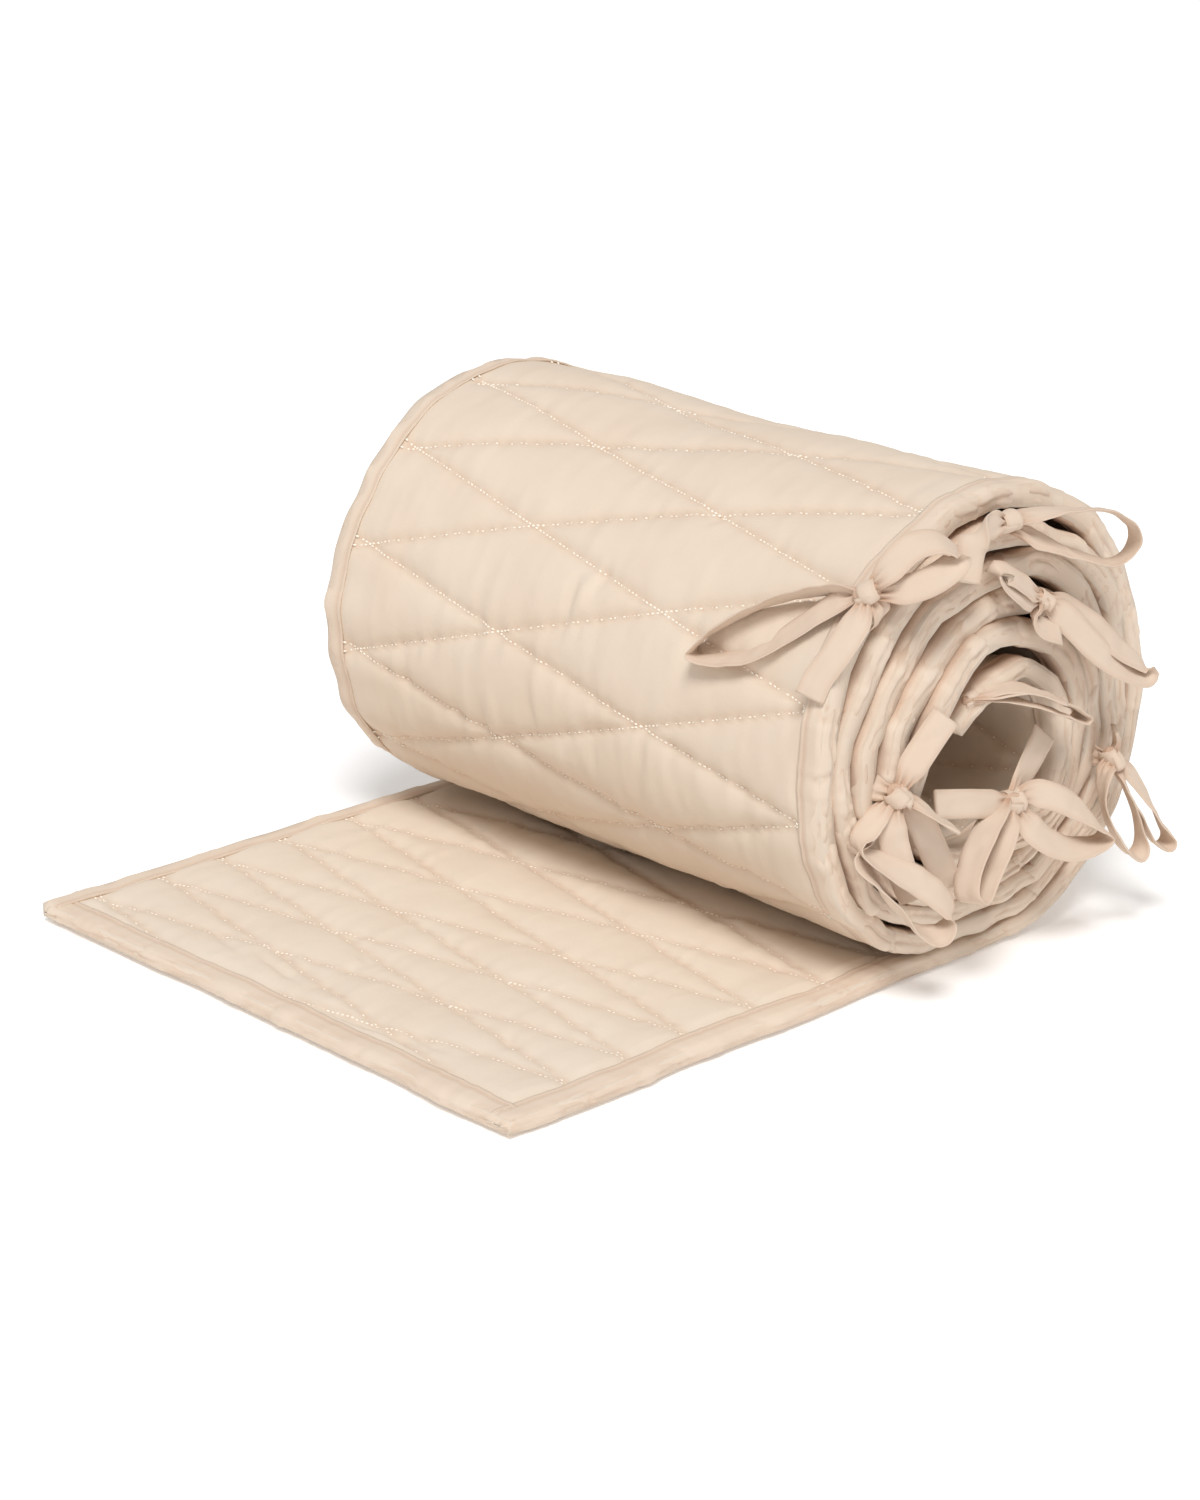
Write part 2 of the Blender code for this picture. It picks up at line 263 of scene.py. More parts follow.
# Creases pressed into the outer turn and the flat part: place by length along and by y in mm, direction
# in degrees from the length, half length and half width in mm, and depth in mm (below 0 is a ridge)
Crease = namedtuple("Crease", "s y turned long wide deep face")
CREASES = (
    Crease(length_at(0.651) / MM, 1, 4, 15, 2.6, 2.4, "outside"),
    Crease(length_at(0.650) / MM, -6, 8, 13, 2.6, -1.3, "outside"),
    Crease(length_at(0.636) / MM, -12, 12, 8, 2.4, 1.8, "outside"),
    Crease(length_at(0.580) / MM, -52, 25, 6, 2.4, 1.8, "outside"),
    Crease(length_at(0.735) / MM, -50, 10, 16, 2.6, 1.4, "outside"),
    Crease(length_at(0.745) / MM, -22, 6, 14, 2.6, 1.3, "outside"),
    Crease(length_at(0.730) / MM, 15, -8, 14, 2.8, 1.3, "outside"),
    Crease(length_at(0.742) / MM, 48, 4, 12, 2.6, 1.2, "outside"),
    Crease(31, 62, 70, 24, 2.6, 1.6, "inside"),
    Crease(27, 20, 80, 18, 2.6, 1.8, "inside"),
    Crease(17, -40, 95, 34, 2.4, 2.8, "inside"),
    Crease(24, -78, 85, 14, 2.4, 2.0, "inside"),
    Crease(60, 5, 60, 13, 2.6, 1.2, "inside"),
    Crease(48, -95, 40, 9, 2.6, 1.3, "inside"),
)


def pressed(s, y, face):
    """How deep the creases of a face are at a point: a soft trough along a short line for each."""
    depth = np.zeros(np.broadcast(s, y).shape)
    for crease in CREASES:
        if crease.face == face:
            turned = math.radians(crease.turned)
            ds, dy = s / MM - crease.s, y / MM - crease.y
            along = (ds * math.cos(turned) + dy * math.sin(turned)) / crease.long
            across = (dy * math.cos(turned) - ds * math.sin(turned)) / crease.wide
            depth = depth + crease.deep * MM * np.exp(-(along**2) * 1.5 - across**2)
    return depth


def bound_half(s):
    """Half the thickness over a binding. On the roll the loose edges swell until they nearly touch the next
    turns, so it is half the smaller distance to a neighbouring turn, less some air."""
    turn = np.maximum(turn_at(s), 0)
    here, within, outside = (reach_at(turn + step) for step in (0, 1, -1))
    within = np.where(turn + 1 < LAST_TURN, here - within, 12.0)
    outside = np.where(turn > 1, outside - here, 12.0)
    swollen = np.clip(np.minimum(within, outside) / 2 - 0.3, 3.8, 6.0)
    share = np.clip(turn * 6, 0, 1)
    return (3.9 + (swollen - 3.9) * share) * MM


def half_thickness(s, y, face):
    """Half the padded thickness of a face. From each seam the padding swells up as 1 - exp(-distance) and
    then arches to the middle of its diamond, the puckers are ripples across the seam that fade away from it,
    and at the edges the panel runs down into its binding. On the flat part one family of seams is slacker."""
    near, far = seam_distances(s, y)
    turn = turn_at(s)
    loose = np.where(face == "outside", (turn > 0.1) & (turn < 1.0), (turn < 0) | (turn > LAST_TURN - 0.9))
    taut = 1 - 0.6 * np.clip(-turn * 8, 0, 1)
    pillow = (1 - taut * np.exp(-near / SEAM_SOFTNESS)) * (1 - np.exp(-far / SEAM_SOFTNESS))
    crown = np.minimum(near, far) / (18 * MM)
    crown = 1 - (1 - np.clip(crown, 0, 1)) ** 2
    full = CLOTH / 2 - 0.1 * MM + PUFF * loose
    half = SEAM_THICKNESS / 2 + (full - SEAM_THICKNESS / 2) * (0.6 * pillow + 0.4 * crown)
    seed = {"outside": 31, "inside": 41}[face]
    nearest = np.minimum(near, far)
    ripple = 0.7 * rumple(y / 0.0065, s / 0.026, seed) + 0.5 * rumple(y / 0.0040, s / 0.014, seed + 1)
    slack = np.exp(-(((turn - 0.76) / 0.10) ** 2))
    half = half + 0.75 * MM * ripple * (0.35 + 0.6 * slack + 0.8 * np.exp(-nearest / 0.007))
    half = half + 0.35 * MM * rumple(y / 0.022, s / 0.030, seed + 2) - pressed(s, y, face)
    from_edge = np.minimum(HALF_WIDTH - np.abs(y), np.minimum(s, LENGTH - s))
    inside = np.clip((BINDING_DEPTH + 3 * MM - from_edge) / (3.2 * MM), 0, 1)
    inside = inside**2 * (3 - 2 * inside)
    return half * (1 - inside) + (bound_half(s) - 1.0 * MM) * inside


def two_faced_grid(rows, columns, split, fine_rows):
    """Faces of a closed slab of two grids, side 0 above side 1, on vertices numbered side, row, column. Cells
    in the fine rows of a side are split both ways; the cells next to them are polygons that share their edge
    vertices, and so are the walls round the slab."""
    down, over = rows * split + 1, columns * split + 1

    def vertex(side, i, j):
        return side * down * over + i * over + j

    fine = np.zeros((2, rows + 2), bool)
    for side, first, last in fine_rows:
        fine[side, first + 1 : last + 1] = True
    faces = []
    for side in (0, 1):
        turned = slice(None, None, 1 if side == 0 else -1)
        cell_rows = np.flatnonzero(fine[side, 1:-1])
        i = (cell_rows[:, None] * split + np.arange(split)).ravel()[:, None]
        j = np.arange(columns * split)[None, :]
        corners = [vertex(side, i + di, j + dj) for di, dj in ((0, 0), (1, 0), (1, 1), (0, 1))]
        faces += np.stack(corners, -1).reshape(-1, 4)[:, turned].tolist()
        for row in np.flatnonzero(~fine[side, 1:-1]):
            start = np.arange(0, split + 1, 1 if fine[side, row] else split)
            finish = np.arange(0, split + 1, 1 if fine[side, row + 2] else split)
            base = np.arange(columns)[:, None] * split
            near = vertex(side, row * split, base + start[::-1])
            beyond = vertex(side, (row + 1) * split, base + finish)
            faces += np.hstack([near, beyond])[:, turned].tolist()
    for row in range(rows):
        steps = [1 if fine[side, row + 1] else split for side in (0, 1)]
        chains = [row * split + np.arange(0, split + 1, step) for step in steps]
        low = [vertex(1, chains[1], 0), vertex(0, chains[0], 0)[::-1]]
        high = [vertex(0, chains[0], over - 1), vertex(1, chains[1], over - 1)[::-1]]
        faces += [np.concatenate(low).tolist(), np.concatenate(high).tolist()]
    for column in range(columns):
        base = column * split
        for i, cell, order in ((0, 1, (0, 1)), (down - 1, rows, (1, 0))):
            chains = [base + np.arange(0, split + 1, 1 if fine[side, cell] else split) for side in order]
            wall = [vertex(order[0], i, chains[0]), vertex(order[1], i, chains[1])[::-1]]
            faces.append(np.concatenate(wall).tolist())
    return faces


def add_object(name, data):
    """A new object in the scene, at the origin and unturned."""
    thing = bpy.data.objects.new(name, data)
    bpy.context.scene.collection.objects.link(thing)
    return thing


def add_piece(name, points, faces, material, flat_places=None, painted_shade=None):
    """A smooth mesh object. Unused points are dropped; flat_places become its UV map in metres, and the
    last argument, the share of painted shade at each point, becomes an attribute named like it."""
    flat_faces = np.concatenate([np.asarray(face) for face in faces])
    used, renumbered = np.unique(flat_faces, return_inverse=True)
    ends = np.cumsum([len(face) for face in faces])[:-1]
    mesh = bpy.data.meshes.new(name)
    mesh.from_pydata(points[used].tolist(), [], [part.tolist() for part in np.split(renumbered, ends)])
    mesh.polygons.foreach_set("use_smooth", np.ones(len(mesh.polygons), bool))
    if flat_places is not None:
        corner = np.empty(len(mesh.loops), np.int32)
        mesh.loops.foreach_get("vertex_index", corner)
        layer = mesh.uv_layers.new(name="cloth")
        layer.data.foreach_set("uv", flat_places[used][corner].astype(np.float32).ravel())
    if painted_shade is not None:
        attribute = mesh.attributes.new("painted_shade", "FLOAT", "POINT")
        attribute.data.foreach_set("value", painted_shade[used].astype(np.float32))
    mesh.update()
    piece = add_object(name, mesh)
    mesh.materials.append(material)
    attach(piece, "root")
    return piece


def linear(colour):
    """An sRGB hex colour as linear RGBA."""
    parts = np.array([int(colour[i : i + 2], 16) for i in (1, 3, 5)]) / 255
    parts = np.where(parts <= 0.04045, parts / 12.92, ((parts + 0.055) / 1.055) ** 2.4)
    return (*parts.tolist(), 1.0)


def plug(node, settings):
    """Set a node's properties and inputs from a table; a socket given for an input is linked to it."""
    for key, value in settings.items():
        if isinstance(value, bpy.types.NodeSocket):
            node.id_data.links.new(value, node.inputs[key])
        elif isinstance(key, str) and hasattr(node, key):
            setattr(node, key, value)
        else:
            node.inputs[key].default_value = value
    return node


def add_node(tree, kind, settings=None):
    """Add a shader node with its properties and inputs set."""
    return plug(tree.nodes.new("ShaderNode" + kind), settings or {})


def node_material(name):
    """A new material, its node tree and its surface shader."""
    material = bpy.data.materials.new(name)
    material.use_nodes = True
    return material, material.node_tree, material.node_tree.nodes["Principled BSDF"]


def blended(tree, share, lit, deeper_tone):
    """The colour between two hex colours at a socket's share."""
    settings = {"data_type": "RGBA", "Factor": share, 6: linear(lit), 7: linear(deeper_tone)}
    return add_node(tree, "Mix", settings).outputs[2]


def embossed(tree, height, strength, distance, onto=None):
    """A normal bumped by a socket's height, onto another one where given."""
    settings = {"Strength": strength, "Distance": distance, "Height": height, **(onto or {})}
    return add_node(tree, "Bump", settings).outputs["Normal"]


def cotton(name, lit, deeper_tone, thread_mm, sheen):
    """Plain woven cotton, dyed beige: matt, with a soft nap, a faint weave and slubs, and uneven dye. lit is
    its colour; the second colour is the deeper one, reached in patches of uneven dye and by painted shade
    along seams, creases, knots and in the gaps between turns."""
    material, tree, shader = node_material(name)
    place = add_node(tree, "TexCoord").outputs["Object"]
    # Uneven dye, in patches of about 30 mm
    patches = add_node(tree, "TexNoise", {"Scale": 1 / 0.030, "Detail": 4.0, "Vector": place})
    spread = {"From Min": 0.35, "From Max": 0.75, "To Max": 0.12}
    share = add_node(tree, "MapRange", {**spread, "Value": patches.outputs["Fac"]}).outputs["Result"]
    # Painted shade from each piece's own attribute deepens the colour along seams, creases, knots and in the
    # gaps between turns
    shade_share = add_node(tree, "Attribute", {"attribute_name": "painted_shade"}).outputs["Fac"]
    both = add_node(tree, "Math", {"operation": "ADD", "use_clamp": True, 0: share, 1: shade_share})
    dye_and_shade = blended(tree, both.outputs["Value"], lit, deeper_tone)
    # The weave follows the cloth. Real threads are about 0.25 mm apart; they are drawn coarser to show.
    flat = add_node(tree, "UVMap", {"uv_map": "cloth"}).outputs["UV"]
    threads = {"Scale": 1 / (thread_mm * MM) / 3.2, "Distortion": 1.5, "Detail": 2.0, "Vector": flat}
    warp, weft = (
        add_node(tree, "TexWave", {"bands_direction": axis, **threads}).outputs["Fac"] for axis in "XY"
    )
    weave = add_node(tree, "Math", {"operation": "MAXIMUM", 0: warp, 1: weft})
    fine = embossed(tree, weave.outputs["Value"], 0.25, 0.12 * MM)
    # Small rumples of the loose cloth, 3 to 8 mm across
    rumples = add_node(tree, "TexNoise", {"Scale": 1 / 0.008, "Detail": 3.0, "Vector": place})
    relief = embossed(tree, rumples.outputs["Fac"], 0.5, 0.5 * MM, {"Normal": fine})
    plug(shader, {"Roughness": 0.88, "Specular IOR Level": 0.25, "Base Color": dye_and_shade, "Normal": relief})
    plug(shader, {"Sheen Weight": sheen, "Sheen Roughness": 0.6, "Sheen Tint": linear("#fff4e6")})
    return material


# The deeper colour of each cotton serves both its uneven dye and its painted shade
panel_cotton = cotton("quilted_cotton_lawn", "#e5d6c4", "#caa283", 0.8, 0.1)

ROW = 10 * MM  # coarse cells, where the cloth doesn't show
SPLIT = 5  # fine cells to a coarse one
PANEL_INSET = 1.3 * MM  # from the object's edge to the panel's own, inside the binding's fold
PANEL_EDGE = HALF_WIDTH - PANEL_INSET
panel_rows = round(LENGTH / ROW)
panel_columns = round(2 * PANEL_EDGE / ROW)
# Fine rows: the flat part's upper face, the outer turn's outside and the core's inside
flat_to, outer_from, outer_to, core_from = (
    round(float(length) / LENGTH * panel_rows)
    for length in (TAIL_LENGTH + 0.012, TAIL_LENGTH - 0.01, length_at(1.03), length_at(4.95))
)
shown_rows = ((0, 0, flat_to), (1, outer_from, outer_to), (0, core_from, panel_rows))
panel_faces = two_faced_grid(panel_rows, panel_columns, SPLIT, shown_rows)
cloth_s = np.linspace(PANEL_INSET, LENGTH - PANEL_INSET, panel_rows * SPLIT + 1)[:, None]
cloth_y = np.linspace(-PANEL_EDGE, PANEL_EDGE, panel_columns * SPLIT + 1)[None, :]
inside_half = half_thickness(cloth_s, cloth_y, "inside")
outside_half = half_thickness(cloth_s, cloth_y, "outside")
panel_points = np.concatenate(
    [
        cloth_point(cloth_s, cloth_y, inside_half).reshape(-1, 3),
        cloth_point(cloth_s, cloth_y, -outside_half).reshape(-1, 3),
    ]
)
flat_s, flat_y = np.broadcast_arrays(cloth_s, cloth_y)
panel_places = np.tile(np.stack([flat_s, flat_y], -1).reshape(-1, 2), (2, 1))
# Painted shade: deeper along the seams, in the dim gaps between the turns and inside the core, and a little
# over the whole outside face
painted_seam_shade = np.exp(-np.minimum(*seam_distances(cloth_s, cloth_y)) / (1.0 * MM)) * 0.4
cloth_turn = turn_at(cloth_s) + 0 * cloth_y
inside_painted_shade = painted_seam_shade + 0.1 * (cloth_turn > LAST_TURN - 1.02)
outside_painted_shade = painted_seam_shade + 0.1 + 0.15 * (cloth_turn > 1.05)
quilted_panel = add_piece(
    "quilted_panel_cloth",
    panel_points,
    panel_faces,
    panel_cotton,
    panel_places,
    np.clip(np.concatenate([inside_painted_shade.ravel(), outside_painted_shade.ravel()]), 0, 1),
)
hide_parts("quilted_panel")

# ---------------------------------------------------------------- quilting thread
# Lockstitch in a pale cream cotton thread along every seam of the quilting, on both faces of the panel.
# Each stitch shows as a short bead that sinks into the cloth at its ends.

STITCH = 2.5 * MM  # from one stitch to the next
THREAD_RADIUS = 0.52 * MM
BEAD_SHARE = 0.72  # the share of a stitch that lies on the surface


def beads(centres, ahead, up, length, radius, flatness=0.7):
    """Points and faces of many small beads: a six-sided spindle with two rings and two poles for each."""
    side = np.cross(up, ahead)
    around = np.arange(6) * math.pi / 3
    rings = []
    for along in (-0.25, 0.25):
        ring = centres[:, None] + ahead[:, None] * (along * length)
        ring = ring + side[:, None] * (np.cos(around) * radius)[:, None]
        rings.append(ring + up[:, None] * (np.sin(around) * radius * flatness)[:, None])
    poles = [centres[:, None] + ahead[:, None] * (along * length) for along in (-0.5, 0.5)]
    points = np.concatenate([poles[0], rings[0], rings[1], poles[1]], axis=1)
    here, after = np.arange(6), (np.arange(6) + 1) % 6
    first = np.stack([np.zeros(6, int), after + 1, here + 1], -1)
    last = np.stack([here + 7, after + 7, np.full(6, 13)], -1)
    middle = np.stack([here + 1, after + 1, after + 7, here + 7], -1)
    offsets = np.arange(len(centres)) * 14
    triangles = (np.concatenate([first, last])[None] + offsets[:, None, None]).reshape(-1, 3)
    quads = (middle[None] + offsets[:, None, None]).reshape(-1, 4)
    return points.reshape(-1, 3), [*triangles.tolist(), *quads.tolist()]


def bead_frames(s, y, height_of):
    """Centres, directions and normals of beads at points s, y that run along a seam: the surface is read a
    little before and after each, and a little to one side."""
    step = 0.2 * MM
    ds, dy = np.gradient(s), np.gradient(y)
    size = np.hypot(ds, dy)
    ds, dy = ds / size * step, dy / size * step
    middle, before, after, beside = (
        cloth_point(a, b, height_of(a, b))
        for a, b in ((s, y), (s - ds, y - dy), (s + ds, y + dy), (s - dy, y + ds))
    )
    ahead, side = after - before, beside - middle
    up = np.cross(ahead, side)
    return middle, ahead / np.linalg.norm(ahead, axis=1)[:, None], up / np.linalg.norm(up, axis=1)[:, None]


def seam_line(number, lean):
    """Evenly spaced points s, y along one seam. Its count of crossings is number minus lean times the share
    of a repeat across the panel, solved for the length along by a few rounds of correction."""
    reach = HALF_WIDTH - BINDING_DEPTH - 0.6 * MM
    y = np.linspace(-reach, reach, round(2 * reach * 1.035 / STITCH))
    wanted = number - lean * (y - SEAM_START) / SEAM_REPEAT
    s = np.interp(wanted, CROSSING_COUNTS, CROSSING_LENGTHS)
    for _ in range(6):
        s = s + (wanted - crossings_at(s, y)) * 0.045
    inside = (s > BINDING_DEPTH) & (s < LENGTH - BINDING_DEPTH)
    return s[inside], y[inside]


def seam_beads(face, low, high, proud):
    """Beads along every seam on one face, from one length along the cloth to another, with their middles
    proud of it."""
    sign = {"inside": 1, "outside": -1}[face]
    parts = []
    for lean in (-1, 1):
        for number in range(-3, round(CROSSING_COUNTS[-1]) + 3):
            s, y = seam_line(number, lean)
            if len(s) > 3:
                middle, ahead, up = bead_frames(s, y, lambda a, b: sign * half_thickness(a, b, face))
                chosen = (s >= low) & (s <= high)
                parts.append([value[chosen] for value in (middle + up * sign * proud, ahead, up * sign)])
    return [np.concatenate(values) for values in zip(*parts)]


def thread_material(name, lit, deeper_tone):
    """Mercerised cotton thread: a paler, slightly silky strand with a fine twist, a little uneven in tone."""
    material, tree, shader = node_material(name)
    place = add_node(tree, "TexCoord").outputs["Object"]
    tone = add_node(tree, "TexNoise", {"Scale": 1 / 0.004, "Vector": place})
    twist = add_node(tree, "TexWave", {"Scale": 1 / 0.0006 / 6.3, "Distortion": 2.0, "Vector": place})
    relief = embossed(tree, twist.outputs["Fac"], 0.3, 0.1 * MM)
    plug(shader, {"Roughness": 0.6, "Specular IOR Level": 0.4, "Normal": relief})
    plug(shader, {"Base Color": blended(tree, tone.outputs["Fac"], lit, deeper_tone)})
    return material


cream_thread = thread_material("cream_cotton_thread", "#fffaf0", "#fbefdc")
shown_seams = [
    seam_beads("inside", 0, TAIL_LENGTH, -0.03 * MM),
    seam_beads("outside", TAIL_LENGTH, length_at(1.03), 0.35 * MM),
    seam_beads("inside", length_at(4.7), LENGTH, 0.05 * MM),
]
centres, ahead, up = (np.concatenate(values) for values in zip(*shown_seams))
thread_points, thread_faces = beads(centres, ahead, up, STITCH * BEAD_SHARE, THREAD_RADIUS)
quilting_thread = add_piece("quilting_thread", thread_points, thread_faces, cream_thread)

# ---------------------------------------------------------------- bindings
# A bias strip of the same cotton, folded over each edge of the panel and stitched through near its inner
# lips. The quilt bulges against it between the seams, and the strip gathers into short puckers.

EDGE_ROUND = 4.2 * MM  # how deep the folded edge's rounding reaches
SEAM_DEPTH = 9.8 * MM  # the binding's own seam, from the edge
BINDING_STEP = 1.3 * MM  # from one station along a strip to the next


def binding_section():
    """Points round the folded strip as rows of depth from the edge, share of the half thickness, outward
    normal in depth and height, and wall: 0 outside and 1 inside. They run from the inner lip of one face
    round the edge to the other lip, and back along the inside."""
    corner = np.radians(np.linspace(90, -90, 19))
    flat = np.array([12.0, 10.8, 9.8, 8.8, 7.2, 5.6]) * MM
    depth = np.concatenate([flat, EDGE_ROUND * (1 - np.cos(corner)), flat[::-1]])
    share = np.concatenate([np.ones(6), np.sin(corner), -np.ones(6)])
    out_depth = np.concatenate([np.zeros(6), -np.cos(corner), np.zeros(6)])
    out_height = np.concatenate([np.ones(6), np.sin(corner), -np.ones(6)])
    inner = np.array([12.0, 7.0, 2.6, 1.1]) * MM
    depth = np.concatenate([depth, inner, inner[::-1]])
    share = np.concatenate([share, [-1, -1, -1, -0.6, 0.6, 1, 1, 1]])
    out_depth = np.concatenate([out_depth, np.zeros(8)])
    out_height = np.concatenate([out_height, np.sign(share[-8:])])
    wall = np.concatenate([np.zeros(len(corner) + 12), np.ones(8)])
    return depth[None], share[None], out_depth[None], out_height[None], wall[None]


def binding_relief(along, depth, share, seed, pinch_mm):
    """How far the strip's surface stands out: short puckers square to the edge, strongest at the seam, a
    shallow groove along the seam, soft hills, pinches (narrow folds right across the strip where a slow
    random curve passes zero) and a fold that wanders along the edge."""
    face = np.sign(share) * 3
    pucker = 0.7 * rumple(along / 0.0055, face, seed) + 0.5 * rumple(along / 0.0030, face, seed + 1)
    at_edge = np.clip((7 * MM - depth) / (4 * MM), 0, 1)
    strength = 0.3 + 0.5 * pinch_mm * at_edge + 0.5 * np.exp(-np.abs(depth - SEAM_DEPTH) / 0.003)
    groove = np.exp(-(((depth - SEAM_DEPTH) / (0.9 * MM)) ** 2))
    hills = rumple(along / 0.017, share * 0.6, seed + 2)
    slant = along + share * 2.5 * MM
    pinch = np.exp(-((rumple(slant / 0.011, 0.5, seed + 3) / 0.24) ** 2))
    pinch = pinch * (0.6 + 0.4 * rumple(slant / 0.05, 3.5, seed + 4)) * (0.3 + 0.7 * at_edge)
    wander = 0.1 + 0.5 * rumple(along / 0.045, 6.5, seed + 6)
    fold = np.exp(-(((share - wander) / 0.17) ** 2)) * (0.6 + 0.4 * rumple(along / 0.02, 2.5, seed + 7))
    relief = 0.42 * pucker * strength + 0.7 * hills - 0.55 * groove - pinch_mm * (pinch + 0.7 * fold)
    return np.where(depth > 7 * MM, np.maximum(relief, -0.9), relief) * MM


def closed_tube(rings, count):
    """Faces through rings of count points, numbered ring by ring, with a polygon over each open end."""
    i = np.arange(rings - 1)[:, None] * count
    j = np.arange(count)[None, :]
    k = (j + 1) % count
    quads = np.stack([i + j, i + k, i + count + k, i + count + j], -1).reshape(-1, 4).tolist()
    first, last = np.arange(count)[::-1].tolist(), (np.arange(count) + (rings - 1) * count).tolist()
    return [*quads, first, last]


def outwards(piece):
    """Turn a closed piece's faces outwards."""
    grid = bmesh.new()
    grid.from_mesh(piece.data)
    bmesh.ops.recalc_face_normals(grid, faces=grid.faces)
    grid.to_mesh(piece.data)
    grid.free()


def folded_strip(name, node, along, half, seed, pinch_mm, place, painted_gap_shade=0.0):
    """The binding's section carried along an edge. half is half its thickness at each station, place turns
    distance along, depth from the edge and height into a point, and the last argument is the painted shade
    where it lies in the dim gaps between turns, 0 to 1 for the outside and the inside face."""
    section_depth, share, out_depth, out_height, wall = binding_section()
    relief = binding_relief(along, section_depth, share, seed, pinch_mm) * (1 - wall)
    waver = 0.6 * MM * rumple(along / 0.012, 0.5, seed + 5) * np.exp(-section_depth / (6 * MM))
    depth = section_depth + waver + out_depth * relief
    height = share * (half - wall * np.minimum(BINDING_WALL, half * 0.5)) + out_height * relief
    points = place(along, depth, height)
    places = np.stack(np.broadcast_arrays(along, section_depth * np.sign(share)), -1)
    # Painted light and shade: deeper along the seam's groove and in the pinches and folds near the edge,
    # lighter on the raised puckers there, and deeper in the gaps between turns
    groove = np.exp(-(((section_depth - SEAM_DEPTH) / (1.2 * MM)) ** 2)) * 0.3
    groove = groove - relief / MM * 0.3 * np.clip((7 * MM - section_depth) / (4 * MM), 0, 1)
    groove = groove + painted_gap_shade * np.clip(section_depth / (7 * MM), 0, 1) * np.abs(share)
    piece = add_piece(
        name,
        points.reshape(-1, 3),
        closed_tube(len(along), section_depth.shape[1]),
        binding_cotton,
        places.reshape(-1, 2),
        np.clip(groove, 0, 1).ravel(),
    )
    outwards(piece)
    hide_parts(node)
    return piece


def long_binding(name, node, side, seed):
    """The strip along a long edge, from end to end; its corners are rounded off over a few millimetres."""
    step = BINDING_STEP if side < 0 else 2 * BINDING_STEP
    s = np.linspace(0, LENGTH, round(LENGTH / step) + 1)[:, None]
    turn = turn_at(s)
    pinch_mm = 0.7 + 1.7 * np.clip(turn * 6, 0, 1)
    from_end = np.clip(np.minimum(s, LENGTH - s) / EDGE_ROUND, 0, 1)
    standing = np.sqrt(1 - (1 - from_end) ** 2)
    cut = (1 - standing) * 4 * MM
    share = binding_section()[1]
    # Painted shade for the faces that lie in the dim gaps between turns
    painted_gap_shade = 0.5 * np.where(share > 0, turn < LAST_TURN - 1, turn > 1.02) * (turn > 0.02)

    def place(along, depth, height):
        corner = cut * np.exp(-depth / (5 * MM))
        return cloth_point(along, side * (HALF_WIDTH - depth - corner), height)

    half = bound_half(s) * np.maximum(standing, 0.12)
    return folded_strip(name, node, s, half, seed, pinch_mm * standing, place, painted_gap_shade)


def end_binding(name, node, tip, inward, seed):
    """The strip across an end of the panel, with its own ends tucked under the long ones."""
    reach = HALF_WIDTH - BINDING_DEPTH / 2
    y = np.linspace(-reach, reach, round(2 * reach / BINDING_STEP) + 1)[:, None]
    half = bound_half(tip) - 0.5 * MM * np.clip((np.abs(y) - HALF_WIDTH + BINDING_DEPTH) / (2 * MM), 0, 1)

    def place(along, depth, height):
        return cloth_point(tip + inward * depth, along, height)

    return folded_strip(name, node, y, half, seed, 0.7, place)


binding_cotton = cotton("binding_cotton_bias", "#e2d0bd", "#c1977a", 0.8, 0.1)
bindings = [
    long_binding("binding_tied_edge_strip", "binding_tied_edge", -1, 51),
    long_binding("binding_plain_edge_strip", "binding_plain_edge", 1, 61),
    end_binding("binding_outer_end_strip", "binding_outer_end", 0.0, 1, 71),
    end_binding("binding_inner_end_strip", "binding_inner_end", LENGTH, -1, 81),
]

# ---------------------------------------------------------------- ribbon ties
# Seven folded cotton ribbons, 12 mm wide, each sewn into the binding of the tied edge and knotted in a bow.
# The loops hang limp and twist, and the free ends are cut square and hemmed.

RIBBON_WIDTH = 12 * MM
RIBBON_THICKNESS = 1.1 * MM
RIBBON_STEP = 1.2 * MM  # from one ring of a ribbon to the next
GATHER = 13 * MM  # a ribbon is drawn together over this length beside its knot
WRAP_WIDTH = 8 * MM  # the ribbon where it is drawn round a knot

